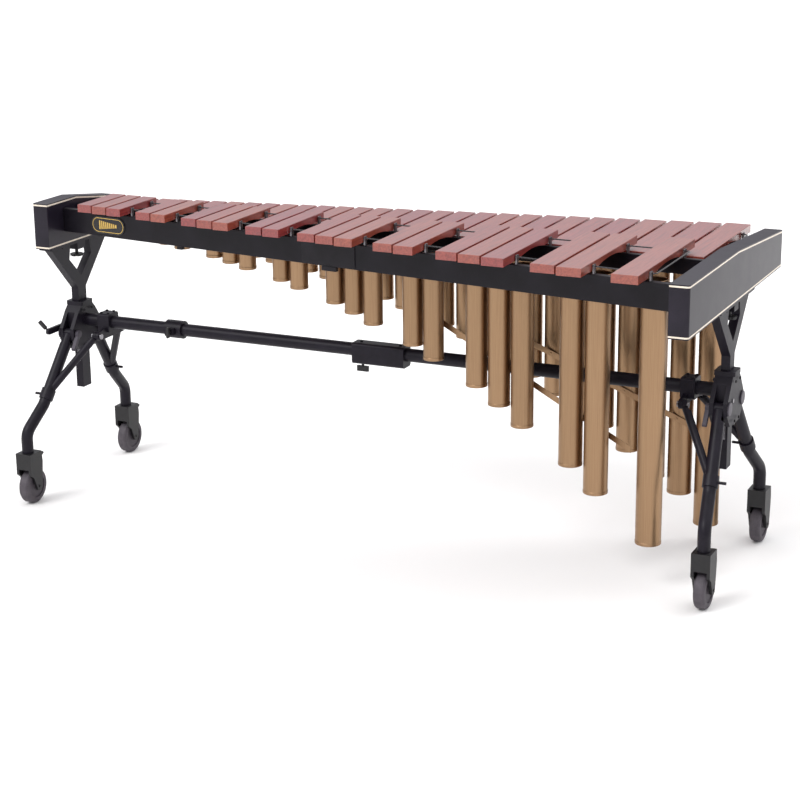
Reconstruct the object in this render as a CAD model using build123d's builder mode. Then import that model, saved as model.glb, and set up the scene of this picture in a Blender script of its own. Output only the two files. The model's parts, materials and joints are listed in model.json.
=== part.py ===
from build123d import *
import os
from math import cos, radians, sin, tau

# Concert mallet instrument on a wheeled stand, four and a third octaves.
# Millimetres. +X runs to the low notes, +Y from the player's sharps side to the naturals side,
# +Z up. The origin is on the floor, midway between the end blocks, under the lift posts.

LOW, HIGH = 1, -1  # which end of the instrument
NEAR, FAR = -1, 1  # which side of the stand
ENDS = {"low": LOW, "high": HIGH}
SIDES = {"near": NEAR, "far": FAR}

# ---- keyboard frame ----------------------------------------------------------------------
frame_half = 994.0  # middle to the inner face of each end block
block_thickness = 52.0
block_bottom = 768.0
block_height = 137.0
block_slope_start = -25.0  # y at which the top starts to fall towards the naturals
block_slope_drop = 33.0
block_span = {LOW: (-459.0, 430.0), HIGH: (-178.0, 192.0)}  # near and far ends
block_outer_radius = 8.0
block_inner_radius = 15.0
inlay_width = 4.5
inlay_margin = 3.0
inlay_depth = 1.5

# ---- bars --------------------------------------------------------------------------------
natural_count = 31
low_end_room = 41.5  # between the low block and the lowest natural's place
pitch_high = 54.7  # boundary to boundary at the high end
pitch_gain = 25.3  # how much wider the lowest bar's place is
pitch_power = 2.4
bar_gap = 9.0
bar_thickness = 22.7
naturals_rise, accidentals_rise = 108.0, 143.0  # bar tops above the blocks' floor
bar_edge = 1.2
arch_start = 0.27  # share of the length from each end to the arch beneath
arch_depth_low = 11.0
arch_depth_high = 4.0
split_natural = 16  # the first bar of the upper group
scale_steps = (0, 2, 3, 5, 7, 8, 10)  # semitones of A B C D E F G above A
semitones_per_octave = 12
sharps_after = (0, 2, 3, 5, 6)  # A C D F G
lowest_pitch_hz = 110.0
speed_of_sound = 343000.0  # mm/s

# ---- lines in plan: y at the low block's face and at the high block's face -----------------
near_post_line = (-355.4, -88.9)
accidental_inner_line = (-63.2, -11.1)
natural_inner_line = (95.8, 28.9)
far_post_line = (363.9, 104.0)
accidental_near_ends = (-451.6, -149.0)
natural_near_ends = (-12.0, 0.0)
natural_far_ends = (465.2, 133.4)
accidental_tube_line = (-195.7, -49.0)
natural_tube_line = (227.4, 65.5)
inner_end_low, inner_end_dip, inner_end_curve = 48.0, 150.0, 128.0  # accidentals' inner ends

# ---- rails, posts and cords ----------------------------------------------------------------
outer_rail_thickness = 20.0
inner_rail_thickness = 16.0
near_rail_height = 70.0
far_rail_height = 70.0
inner_rail_height = 42.0
rail_to_bar = 8.0  # rail top to the underside of the bars
rail_joint_x = -42.0
rail_joint_gap = 0.5
joint_plate = (175.0, 62.0, 2.5)
latch_size = (49.0, 12.0, 13.0)
plate_corner, latch_corner = 4.0, 2.0
catch_x = -557.0
catch_size = (20.0, 12.0, 9.0)
badge_size = (126.0, 52.0, 2.5)
badge_x = -818.0
cord_radius = 1.75
cord_hole_radius = 3.2
cord_overrun = 13.0  # beyond the first post, before it turns across
cord_turn_radius = 8.0
post_width, post_length = 5.0, 12.0
post_slot = 4.7
post_above_cord = 3.5

# ---- resonators ----------------------------------------------------------------------------
tube_share = 0.88  # of the bar's place
tube_wall = 1.5
tube_end_correction = 16.0
accidental_tube_rise, natural_tube_rise = 81.0, 50.0  # tube tops above the blocks' floor
tube_cap = (2.0, 9.0, 0.6)  # floor, rim height, rim stand-out
strip_thickness, strip_height, strip_below_top = 3.0, 22.0, 14.0
stay_height, stay_thickness = 18.0, 2.0
# each end of a stay: x from the lowest natural's place, z from the blocks' floor
accidental_stay = ((-726.5, -107.0), (-147.5, -401.0))
natural_stay = ((-556.5, -213.0), (-72.5, -421.0))

# ---- stand ---------------------------------------------------------------------------------
mast_x, mast_y = 25.0, 42.0
mast_bottom = 304.0
slide_gap = 0.3
fork_foot_drop, fork_crotch_drop = 150.0, 113.0  # below the blocks' floor
arm_top_outer, arm_top_inner, arm_inner_knee = 150.0, 50.0, (58.0, 54.0)
fork_plate = (46.0, 320.0, 8.0)
centre_bracket = (36.0, 40.0, 22.0)
knob_head_radius, knob_head_height, knob_head_drop = 20.0, 7.0, 53.0
knob_stem_radius, knob_stem_depth = 5.0, 8.0
knob_lobes = 6
running_gap = 0.05

hub_width = 50.0
hub_bottom, hub_shoulder, hub_top = 430.0, 548.0, 565.0
hub_cheek, hub_throat = 9.0, 46.0  # wall beside the post, half width at the lugs' roots
hub_collar, hub_collar_corner = (16.5, 9.0, 12.0), 6.0  # walls round the post, height
hub_foot_rise = 2.0
lug_reach, lug_low, lug_high = 78.0, 468.0, 502.0
lug_slot = 26.0
hinge_y, hinge_z = 62.0, 485.0
hinge_radius = 6.0

leg_radius, leg_wall = 17.5, 2.0
leg_eye_radius = 14.5
knee_out, knee_y, knee_z = 17.0, 195.0, 292.0  # outboard of the lift post
bend_out, bend_y, bend_z = 30.0, 272.0, 222.0
caster_height = 162.0
knee_radius, bend_radius = 60.0, 48.0
foot_plug = 30.0
leg_head_clearance = 24.0  # beyond the eye, where the tube is flattened

beam_radius, beam_wall, beam_z = 19.0, 2.0, 517.0
beam_gap = 0.5
sleeve = (-78.0, 85.0)
sleeve_walls, sleeve_corner = (7.0, 6.0, 18.0), 10.0  # beside, over and under the beam
wing_screw_x, wing_screw_radius, wing_screw_length = -55.0, 4.0, 26.0
wing = (38.0, 9.0, 16.0)  # length, thickness, depth
collar = (-706.0, -650.0)
collar_wall = 8.0
collar_lug, collar_lug_root = (24.0, 14.0, 20.0), 4.0
collar_wing, collar_wing_start, collar_screw_stand_out = (34.0, 9.0, 10.0), 6.0, 14.0
bore_overlap = 1.0
clamp_gap = 0.15

bracket_inboard, bracket_length = 100.0, 40.0  # from the lift post
bracket_walls = (9.0, 10.0)  # beside and over the beam
bracket_lug, bracket_lug_set_out, bracket_corner = 9.4, 4.0, 8.0
strut_radius, strut_eye_radius, strut_eye_width = 11.0, 13.0, 12.0
strut_eye_gap = 0.6
strut_head_clearance = 2.0
strut_bolt_radius, strut_bolt_head = 5.0, (8.5, 5.0)
strut_share = 0.86  # of the way from the leg's hinge to its knee
saddle_wall, saddle_half, saddle_gap = 4.0, 16.0, 0.15
spur = (4.0, 20.0)

clamp_cap = (19.0, 4.0)
lever = (50.0, 11.0, 12.0)
side_gap = 0.4

# ---- lift: rack in each post, pinion in each hub ---------------------------------------------
pinion_teeth, pinion_radius = 12, 9.0
tooth_above, tooth_below, tooth_half = 1.0, 1.3, 0.85
tooth_slope = 0.36
pinion_width, rack_width = 9.0, 12.0
pocket_side_gap, pocket_tip_gap = 1.0, 0.6
rack_depth = 7.0
rack_tip_inset = 0.2
pinion_z = 500.0
lift_down, lift_up = 38.0, 100.0
rack_spare = 14.0
shaft_radius = 6.0
shaft_stand_out = 3.0
crank_boss = (12.0, 14.0)
crank_arm = (92.0, 18.0, 9.0)
crank_tilt = 42.0
grip_pin_radius, grip_radius, grip_length, grip_start = 3.0, 6.5, 30.0, 13.0
grip_end_wall = 4.0
grip_edge = 2.0

# ---- casters ---------------------------------------------------------------------------------
wheel_radius, wheel_width = 53.0, 32.0
wheel_trail = 14.0
wheel_side_gap = 1.3
cheek_thickness = 8.7
caster_top_gap = 0.5
stem_radius, stem_length = 5.5, 24.0
axle_radius, axle_stand_out = 4.0, 2.0
axle_boss_radius = 13.0
tyre_edge = 8.0
dish_share, dish_depth = 0.68, 4.0
cover_front, cover_back = -27.0, 32.0  # y of the cover's top from its stem
cover_shoulder, cover_heel = (36.0, 128.0), (33.0, 96.0)  # y from the stem, z
cover_brow, cover_throat = (-27.0, 96.0), (-12.0, 84.0)
cover_roof = 5.0
wheel_top_gap = 6.0
pedal_pivot = (22.0, 141.0)
pedal_reach, pedal_width, pedal_thickness = 62.0, 26.0, 9.0
pedal_pin_radius = 3.0
pedal_slot = (10.0, 38.0)  # middle behind the pin, length
pedal_heel = 6.0
pedal_toe_start, pedal_toe_low, pedal_toe_lip, pedal_toe_high = 14.0, 2.0, 2.0, 8.0
pedal_swing = 12.0

os.makedirs("parts", exist_ok=True)
block_top = block_bottom + block_height
naturals_right = frame_half - low_end_room
naturals_top = block_bottom + naturals_rise
accidentals_top = block_bottom + accidentals_rise
natural_tube_top = block_bottom + natural_tube_rise
accidental_tube_top = block_bottom + accidental_tube_rise
post_x = frame_half + block_thickness / 2
knob_head_bottom = block_bottom - knob_head_drop
leg_eye_width = lug_slot - 2 * side_gap
knee = (post_x + knee_out, knee_y, knee_z)
bend = (post_x + bend_out, bend_y, bend_z)
sleeve_width = 2 * (beam_radius + sleeve_walls[0])
sleeve_top = beam_z + beam_radius + sleeve_walls[1]
sleeve_bottom = beam_z - beam_radius - sleeve_walls[2]
collar_radius = beam_radius + collar_wall
bracket_x = post_x - bracket_inboard
saddle_radius = leg_radius + saddle_wall
caster_width = wheel_width + 2 * (wheel_side_gap + cheek_thickness)
accidental_bottom = accidentals_top - bar_thickness
natural_bottom = naturals_top - bar_thickness
pinion_y = -mast_y / 2 + rack_tip_inset + tooth_above - pinion_radius
tooth_pitch = tau * pinion_radius / pinion_teeth


def save(piece, name):
    """Label a finished piece and write it to its own file."""
    piece.label = name
    export_step(piece, f"parts/{name}.step")


def along(line, x):
    """y of a plan line at x."""
    share = (frame_half - x) / (2 * frame_half)
    return line[0] + (line[1] - line[0]) * share


def place_width(index):
    """Width of the place that a natural bar takes up."""
    return pitch_high + pitch_gain * (1 - index / (natural_count - 1)) ** pitch_power


boundaries = [naturals_right]
for number in range(natural_count):
    boundaries.append(boundaries[-1] - place_width(number))
natural_x = [(boundaries[n] + boundaries[n + 1]) / 2 for n in range(natural_count)]
sharp_numbers = [n for n in range(natural_count - 1) if n % len(scale_steps) in sharps_after]


def share_along(x):
    return (naturals_right - x) / (naturals_right - boundaries[-1])


def inner_end(x):
    """y of an accidental's inner end, on a shallow curve."""
    share = share_along(x)
    return inner_end_low - inner_end_dip * share + inner_end_curve * share**2


def frequency(number, sharp):
    """Pitch of natural `number`, or of the sharp above it."""
    octave, step = divmod(number, len(scale_steps))
    semitones = semitones_per_octave * octave + scale_steps[step] + sharp
    return lowest_pitch_hz * 2 ** (semitones / 12)


def natural_places():
    """x, width, near end, far end and pitch of each natural."""
    places = []
    for n in range(natural_count):
        x = natural_x[n]
        ends = along(natural_near_ends, x), along(natural_far_ends, x)
        places.append((x, place_width(n), *ends, frequency(n, 0)))
    return places


def accidental_places():
    """The same for each sharp, which sits over the line between two naturals."""
    places = []
    for n in sharp_numbers:
        x = boundaries[n + 1]
        width = (place_width(n) + place_width(n + 1)) / 2
        ends = along(accidental_near_ends, x), inner_end(x)
        places.append((x, width, *ends, frequency(n, 1)))
    return places


# ==== bars ====================================================================================
def bars(places, top, cord_lines):
    """A group of bars: each a plank with a tuned arch beneath and two cord holes through it."""
    bottom = top - bar_thickness
    with BuildPart() as group:
        for x, place, near, far, _ in places:
            width = place - bar_gap
            length = far - near
            depth = arch_depth_low + (arch_depth_high - arch_depth_low) * share_along(x)
            start, end = near + arch_start * length, far - arch_start * length
            with BuildSketch(Plane.YZ.offset(x - width / 2)):
                with BuildLine():
                    plank = [(near, bottom), (near, top), (far, top), (far, bottom)]
                    Polyline((start, bottom), *plank, (end, bottom))
                    ThreePointArc((end, bottom), ((start + end) / 2, bottom + depth), (start, bottom))
                make_face()
            extrude(amount=width)
        chamfer(group.faces().filter_by(Plane.XY).group_by(Axis.Z)[-1].edges(), bar_edge)
        for line in cord_lines:
            with BuildSketch(cord_plane(line, top - bar_thickness / 2)):
                Circle(cord_hole_radius)
            extrude(amount=2 * frame_half, both=True, mode=Mode.SUBTRACT)
    return group.part


def cord_plane(line, z):
    """Plane across a cord's straight run, at mid-length."""
    direction = (2 * frame_half, line[0] - line[1], 0)
    return Plane(origin=(0, along(line, 0), z), z_dir=direction)


natural_lines = (natural_inner_line, far_post_line)
accidental_lines = (near_post_line, accidental_inner_line)
naturals, accidentals = natural_places(), accidental_places()
split_x = boundaries[split_natural]
bar_banks = {
    "natural": (naturals, naturals_top, natural_lines),
    "accidental": (accidentals, accidentals_top, accidental_lines),
}
for name, (places, top, lines) in bar_banks.items():
    save(bars([p for p in places if p[0] > split_x], top, lines), f"{name}_bars_low")
    save(bars([p for p in places if p[0] <= split_x], top, lines), f"{name}_bars_high")


# ==== rails ===================================================================================
def rail(line, thickness, bottom, top, low=frame_half, high=-frame_half):
    """A straight rail between the blocks, its long sides along a plan line."""
    half = thickness / 2
    corners = [(low, along(line, low) - half), (low, along(line, low) + half)]
    corners += [(high, along(line, high) + half), (high, along(line, high) - half)]
    with BuildPart() as piece:
        with BuildSketch(Plane.XY.offset(bottom)):
            Polygon(*corners, align=None)
        extrude(amount=top - bottom)
    return piece.part


near_rail_top = accidental_bottom - rail_to_bar
natural_rail_top = natural_bottom - rail_to_bar
near_rail_bottom = near_rail_top - near_rail_height
far_rail_bottom = natural_rail_top - far_rail_height
near_halves = (
    (frame_half, rail_joint_x + rail_joint_gap / 2),
    (rail_joint_x - rail_joint_gap / 2, -frame_half),
)
with BuildPart() as near_outer_rail:
    for low_x, high_x in near_halves:
        add(rail(near_post_line, outer_rail_thickness, near_rail_bottom, near_rail_top, low_x, high_x))
save(near_outer_rail.part, "near_outer_rail")
save(rail(far_post_line, outer_rail_thickness, far_rail_bottom, natural_rail_top), "far_outer_rail")
with BuildPart() as inner_rails:
    for line, top in ((accidental_inner_line, near_rail_top), (natural_inner_line, natural_rail_top)):
        add(rail(line, inner_rail_thickness, top - inner_rail_height, top))
save(inner_rails.part, "inner_rails")


def rail_face(x, z):
    """Plane on the near rail's outer face: its x runs along the rail and its normal points out."""
    run = (2 * frame_half, near_post_line[0] - near_post_line[1], 0)
    normal = Vector(*run).normalized().rotate(Axis.Z, -90)
    foot = Vector(x, along(near_post_line, x), z) + normal * (outer_rail_thickness / 2)
    return Plane(origin=foot, x_dir=run, z_dir=normal)


# The two halves of the near rail are joined by a plate, and drawn together by a latch beneath.
with BuildPart() as rail_joint_plates:
    with BuildSketch(rail_face(rail_joint_x, near_rail_bottom + near_rail_height / 2)):
        RectangleRounded(joint_plate[0], joint_plate[1], plate_corner)
    extrude(amount=joint_plate[2])
    with BuildSketch(rail_face(rail_joint_x, near_rail_bottom - latch_size[2] / 2)):
        RectangleRounded(latch_size[0], latch_size[2], latch_corner)
    extrude(amount=-latch_size[1])
    with BuildSketch(rail_face(catch_x, near_rail_bottom - catch_size[2] / 2)):
        RectangleRounded(catch_size[0], catch_size[2], latch_corner)
    extrude(amount=-catch_size[1])
save(rail_joint_plates.part, "rail_joint_plates")

with BuildPart() as badge:
    with BuildSketch(rail_face(badge_x, near_rail_bottom + near_rail_height / 2)):
        SlotOverall(badge_size[0], badge_size[1])
    extrude(amount=badge_size[2])
save(badge.part, "badge")


# ==== posts and cords =========================================================================
def posts(lines, stations, rail_top, cord_z):
    """Forked posts that stand on two rails and hold the cord in their open tops."""
    slot_floor = cord_z - cord_radius - running_gap
    top = cord_z + cord_radius + post_above_cord
    half, slot = post_length / 2, post_slot / 2
    with BuildPart() as group:
        for line in lines:
            for x in stations:
                y = along(line, x)
                outline = [(y - half, rail_top), (y + half, rail_top), (y + half, top), (y + slot, top)]
                outline += [(y + slot, slot_floor), (y - slot, slot_floor)]
                outline += [(y - slot, top), (y - half, top)]
                with BuildSketch(Plane.YZ.offset(x - post_width / 2)):
                    Polygon(*outline, align=None)
                extrude(amount=post_width)
    return group.part


def cord(lines, low_x, high_x, z):
    """One cord: along a bank's first line, across beyond the lowest bar, and back along the second."""
    corners = [(high_x, along(lines[0], high_x), z), (low_x, along(lines[0], low_x), z)]
    corners += [(low_x, along(lines[1], low_x), z), (high_x, along(lines[1], high_x), z)]
    with BuildPart() as piece:
        with BuildLine() as route:
            FilletPolyline(*corners, radius=cord_turn_radius)
        with BuildSketch(Plane(origin=route.line @ 0, z_dir=route.line % 0)):
            Circle(cord_radius)
        sweep(path=route.line)
    return piece.part


accidental_cord_z = accidentals_top - bar_thickness / 2
natural_cord_z = naturals_top - bar_thickness / 2
accidental_stations = natural_x[: natural_count - 1]
banks = (
    (accidental_lines, accidental_stations, near_rail_top, accidental_cord_z),
    (natural_lines, boundaries, natural_rail_top, natural_cord_z),
)
with BuildPart() as cord_posts:
    for lines, stations, rail_top, z in banks:
        add(posts(lines, stations, rail_top, z))
save(cord_posts.part, "cord_posts")
with BuildPart() as bar_cords:
    for lines, stations, _, z in banks:
        add(cord(lines, stations[0] + cord_overrun, stations[-1] - post_width / 2, z))
save(bar_cords.part, "bar_cords")


# ==== resonators ==============================================================================
def tubes(places, line, top):
    """Resonator tubes, open at the top and capped below, each a quarter of its note's wave long."""
    floor, rim, stand_out = tube_cap
    with BuildPart() as group:
        for x, place, _, _, pitch in places:
            radius = tube_share * place / 2
            bottom = top - (speed_of_sound / (4 * pitch) - tube_end_correction)
            outside, inside = x + radius, x + radius - tube_wall
            profile = [(x, bottom), (outside + stand_out, bottom), (outside + stand_out, bottom + rim)]
            profile += [(outside, bottom + rim), (outside, top), (inside, top)]
            profile += [(inside, bottom + floor), (x, bottom + floor)]
            with BuildSketch(Plane.XZ.offset(-along(line, x))):
                Polygon(*profile, align=None)
            revolve(axis=Axis((x, along(line, x), 0), (0, 0, 1)))
    return group.part


def side_line(line, sign, places):
    """Plan line of the strip down one side of a bank, clear of its first and last tubes."""
    out = strip_thickness / 2 + tube_cap[2] + side_gap
    first_x, last_x = places[0][0], places[-1][0]
    first, last = (tube_share * places[k][1] / 2 + out for k in (0, -1))
    slope = (first - last) / (first_x - last_x)
    low = first + slope * (frame_half - first_x)
    high = last - slope * (frame_half + last_x)
    return line[0] + sign * low, line[1] + sign * high


def bank_strips(places, line, top):
    """The two straight strips that carry a bank, from block to block."""
    strip_top = top - strip_below_top
    with BuildPart() as pair:
        for sign in (NEAR, FAR):
            strip_line = side_line(line, sign, places)
            add(rail(strip_line, strip_thickness, strip_top - strip_height, strip_top))
    return pair.part


def stay(places, line, side, ends):
    """A slanting stay across a bank's longer tubes, on the side that faces the other bank."""
    face_line = side_line(line, side, places)
    (x0, z0), (x1, z1) = ((naturals_right + x, block_bottom + z) for x, z in ends)
    foot = Vector(x0, along(face_line, x0), z0)
    tip = Vector(x1, along(face_line, x1), z1)
    run = Vector(tip.X - foot.X, tip.Y - foot.Y, 0)
    half = stay_height / 2
    with BuildPart() as strap:
        with BuildSketch(Plane(origin=foot, x_dir=run, z_dir=run.rotate(Axis.Z, -90))):
            drop = tip.Z - foot.Z
            strap_end = [(run.length, drop - half), (run.length, drop + half)]
            Polygon((0, -half), *strap_end, (0, half), align=None)
        extrude(amount=-side * stay_thickness)
    return strap.part


save(tubes(accidentals, accidental_tube_line, accidental_tube_top), "accidental_resonators")
save(tubes(naturals, natural_tube_line, natural_tube_top), "natural_resonators")
with BuildPart() as resonator_strips:
    add(bank_strips(accidentals, accidental_tube_line, accidental_tube_top))
    add(bank_strips(naturals, natural_tube_line, natural_tube_top))
save(resonator_strips.part, "resonator_strips")
with BuildPart() as resonator_stays:
    add(stay(accidentals, accidental_tube_line, FAR, accidental_stay))
    add(stay(naturals, natural_tube_line, NEAR, natural_stay))
save(resonator_stays.part, "resonator_stays")


# ==== end blocks ==============================================================================
def block_outline(end, inset):
    """Plan of an end block, or of its core when inset, with its four upright edges rounded."""
    near, far = block_span[end]
    inner, outer = frame_half + inset, frame_half + block_thickness - inset
    with BuildSketch() as plan:
        with Locations((end * (inner + outer) / 2, (near + far) / 2)):
            Rectangle(outer - inner, far - near - 2 * inset)
        inner_corners, outer_corners = plan.vertices().group_by(Axis.X)[::end]
        fillet(outer_corners, block_outer_radius - inset)
        fillet(inner_corners, block_inner_radius - inset)
    return plan.sketch


def block_side(end, low, high, from_top):
    """Side view of a block's slice: between two heights above its floor, or below its top edge."""
    near, far = block_span[end]
    if not from_top:
        floor, ceiling = block_bottom + low, block_bottom + high
        return [(near, floor), (far, floor), (far, ceiling), (near, ceiling)]
    fall = block_slope_drop
    top = block_top
    upper = [(near, top - low), (block_slope_start, top - low), (far, top - low - fall)]
    lower = [(far, top - high - fall), (block_slope_start, top - high), (near, top - high)]
    return upper + lower


def block_slice(end, inset, outline):
    """The block's plan raised to full height and cut to a side outline."""
    with BuildPart() as piece:
        with BuildSketch(Plane.XY.offset(block_bottom)):
            add(block_outline(end, inset))
        extrude(amount=block_height)
        with BuildSketch(Plane.YZ.offset(end * frame_half)):
            Polygon(*outline, align=None)
        extrude(amount=end * block_thickness, mode=Mode.INTERSECT)
    return piece.part


def block_inlay(end):
    """Two thin lines let into the block's faces, one under its top edge and one over its bottom edge."""
    margins = inlay_margin, inlay_margin + inlay_width
    with BuildPart() as pair:
        for from_top in (True, False):
            outline = block_side(end, *margins, from_top)
            with BuildPart() as line:
                add(block_slice(end, 0, outline))
                add(block_slice(end, inlay_depth, outline), mode=Mode.SUBTRACT)
            add(line.part)
    return pair.part


def end_block(end, inlay):
    """The block itself, grooved for its inlay and bored from below for the hand screw."""
    near, far = block_span[end]
    fallen_top = block_top - block_slope_drop
    outline = [(near, block_top), (block_slope_start, block_top), (far, fallen_top)]
    outline += [(far, block_bottom), (near, block_bottom)]
    with BuildPart() as block:
        add(block_slice(end, 0, outline))
        add(inlay, mode=Mode.SUBTRACT)
        with BuildSketch(Plane((end * post_x, 0, block_bottom))):
            Circle(knob_stem_radius + running_gap)
        extrude(amount=knob_stem_depth + running_gap, mode=Mode.SUBTRACT)
    return block.part


inlays = {end: block_inlay(end) for end in ENDS.values()}
for word, end in ENDS.items():
    save(end_block(end, inlays[end]), f"end_block_{word}")
with BuildPart() as block_inlays:
    for piece in inlays.values():
        add(piece)
save(block_inlays.part, "block_inlays")


# ==== lift posts ==============================================================================
rack_low = pinion_z - lift_up - rack_spare
rack_high = pinion_z + lift_down + rack_spare
plate_bottom = block_bottom - fork_plate[2]


def fork(end):
    """Square post with a Y at its head, a plate under the block and a bracket for the block's knob."""
    half = mast_y / 2
    right = [(half, mast_bottom), (half, block_bottom - fork_foot_drop), (arm_top_outer, plate_bottom)]
    right += [(arm_top_inner, plate_bottom), (arm_inner_knee[0], block_bottom - arm_inner_knee[1])]
    right += [(0, block_bottom - fork_crotch_drop)]
    left = [(-y, z) for y, z in reversed(right[:-1])]
    x = end * post_x
    with BuildPart() as piece:
        with BuildSketch(Plane.YZ.offset(x - mast_x / 2)):
            Polygon(*right, *left, align=None)
        extrude(amount=mast_x)
        with BuildSketch(Plane((x, 0, plate_bottom))):
            Rectangle(fork_plate[0], fork_plate[1])
        extrude(amount=fork_plate[2])
        with BuildSketch(Plane((x, 0, plate_bottom))):
            Rectangle(centre_bracket[0], centre_bracket[1])
        extrude(amount=-centre_bracket[2])
        with BuildSketch(Plane((x, 0, block_bottom))):
            Circle(knob_stem_radius + running_gap)
        extrude(amount=-fork_plate[2] - centre_bracket[2], mode=Mode.SUBTRACT)
        with BuildSketch(Plane((x, -half + rack_depth / 2, rack_low))):
            Rectangle(rack_width, rack_depth)
        extrude(amount=rack_high - rack_low, mode=Mode.SUBTRACT)
    return piece.part


def lift_rack(end):
    """Toothed strip let into the post's near face, in mesh with the pinion in the hub."""
    pitch_y = -mast_y / 2 + rack_tip_inset + tooth_above
    root_y, tip_y, back_y = pitch_y + tooth_below, pitch_y - tooth_above, -mast_y / 2 + rack_depth
    root_half = tooth_half + tooth_slope * tooth_below
    tip_half = tooth_half - tooth_slope * tooth_above
    teeth_down = int((pinion_z - rack_low - root_half) / tooth_pitch)
    teeth_up = int((rack_high - pinion_z - root_half) / tooth_pitch)
    with BuildPart() as strip:
        with BuildSketch(Plane.YZ.offset(end * post_x - rack_width / 2)):
            back = [(root_y, rack_low), (back_y, rack_low), (back_y, rack_high), (root_y, rack_high)]
            Polygon(*back, align=None)
            for number in range(-teeth_down, teeth_up + 1):
                z = pinion_z + number * tooth_pitch
                tooth = [(root_y, z - root_half), (tip_y, z - tip_half)]
                tooth += [(tip_y, z + tip_half), (root_y, z + root_half)]
                Polygon(*tooth, align=None)
        extrude(amount=rack_width)
    return strip.part


for word, end in ENDS.items():
    save(fork(end), f"fork_{word}")
with BuildPart() as lift_racks:
    for end in ENDS.values():
        add(lift_rack(end))
save(lift_racks.part, "lift_racks")


def block_knob(end):
    """Hand screw that holds the block down on its fork."""
    with BuildPart() as knob:
        with BuildSketch(Plane((end * post_x, 0, knob_head_bottom))):
            Circle(knob_head_radius)
            with PolarLocations(knob_head_radius, knob_lobes):
                Circle(knob_head_height / 2, mode=Mode.SUBTRACT)
        extrude(amount=knob_head_height)
        with BuildSketch(Plane((end * post_x, 0, knob_head_bottom))):
            Circle(knob_stem_radius)
        extrude(amount=block_bottom + knob_stem_depth - knob_head_bottom)
    return knob.part


for word, end in ENDS.items():
    save(block_knob(end), f"block_knob_{word}")


# ==== hubs ====================================================================================
def hub(end):
    """Casting that the post slides in and the two legs hinge on, with the pinion's pocket inside."""
    x = end * post_x
    hub_half = mast_y / 2 + hub_cheek
    right = [(hub_half, hub_bottom), (hub_throat, hub_bottom + hub_foot_rise), (lug_reach, lug_low)]
    right += [(lug_reach, lug_high), (hub_throat, hub_shoulder), (hub_half, hub_top)]
    left = [(-y, z) for y, z in reversed(right)]
    slot_start = hinge_y - leg_eye_radius - side_gap
    with BuildPart() as casting:
        with BuildSketch(Plane.YZ.offset(x - hub_width / 2)):
            Polygon(*right, *left, align=None)
        extrude(amount=hub_width)
        with BuildSketch(Plane((x, 0, hub_top))):
            RectangleRounded(mast_x + 2 * hub_collar[0], mast_y + 2 * hub_collar[1], hub_collar_corner)
        extrude(amount=hub_collar[2])
        with BuildSketch(Plane((x, 0, hub_bottom))):
            Rectangle(mast_x + 2 * slide_gap, mast_y + 2 * slide_gap)
        extrude(amount=hub_top + hub_collar[2] - hub_bottom, mode=Mode.SUBTRACT)
        for side in (NEAR, FAR):
            with BuildSketch(Plane((x, side * (slot_start + lug_reach) / 2, hub_bottom))):
                Rectangle(lug_slot, lug_reach - slot_start)
            extrude(amount=hub_top - hub_bottom, mode=Mode.SUBTRACT)
            with BuildSketch(Plane.YZ.offset(x - hub_width / 2)):
                with Locations((side * hinge_y, hinge_z)):
                    Circle(hinge_radius + running_gap)
            extrude(amount=hub_width, mode=Mode.SUBTRACT)
        pocket_half = pinion_width / 2 + pocket_side_gap
        with BuildSketch(Plane.YZ.offset(x - pocket_half)):
            with Locations((pinion_y, pinion_z)):
                Circle(pinion_radius + tooth_above + pocket_tip_gap)
        extrude(amount=2 * pocket_half, mode=Mode.SUBTRACT)
        with BuildSketch(Plane.YZ.offset(x)):
            with Locations((pinion_y, pinion_z)):
                Circle(shaft_radius + running_gap)
        extrude(amount=end * hub_width / 2, mode=Mode.SUBTRACT)
    return casting.part


for word, end in ENDS.items():
    save(hub(end), f"hub_{word}")


# ==== pinions and crank =======================================================================
def pinion_face():
    """Toothed section of a pinion, with a gap facing the rack."""
    root, tip = pinion_radius - tooth_below, pinion_radius + tooth_above
    root_half = tooth_half + tooth_slope * tooth_below
    tip_half = tooth_half - tooth_slope * tooth_above
    buried = root - tooth_above
    tooth = [(buried, -root_half), (tip, -tip_half), (tip, tip_half), (buried, root_half)]
    with BuildSketch() as face:
        Circle(root)
        with PolarLocations(0, pinion_teeth, start_angle=180 / pinion_teeth):
            Polygon(*tooth, align=None)
    return face.sketch


def pinion(end, shaft_end):
    """Pinion on its shaft, which runs out through the hub's outer wall."""
    x = end * post_x
    centre = (x - pinion_width / 2, pinion_y, pinion_z)
    with BuildPart() as piece:
        with BuildSketch(Plane(origin=centre, x_dir=(0, 1, 0), z_dir=(1, 0, 0))):
            add(pinion_face())
        extrude(amount=pinion_width)
        with BuildSketch(Plane.YZ.offset(x)):
            with Locations((pinion_y, pinion_z)):
                Circle(shaft_radius)
        extrude(amount=shaft_end - x)
    return piece.part


hub_face = post_x + hub_width / 2
save(pinion(LOW, hub_face + shaft_stand_out), "lift_pinion_low")

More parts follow.
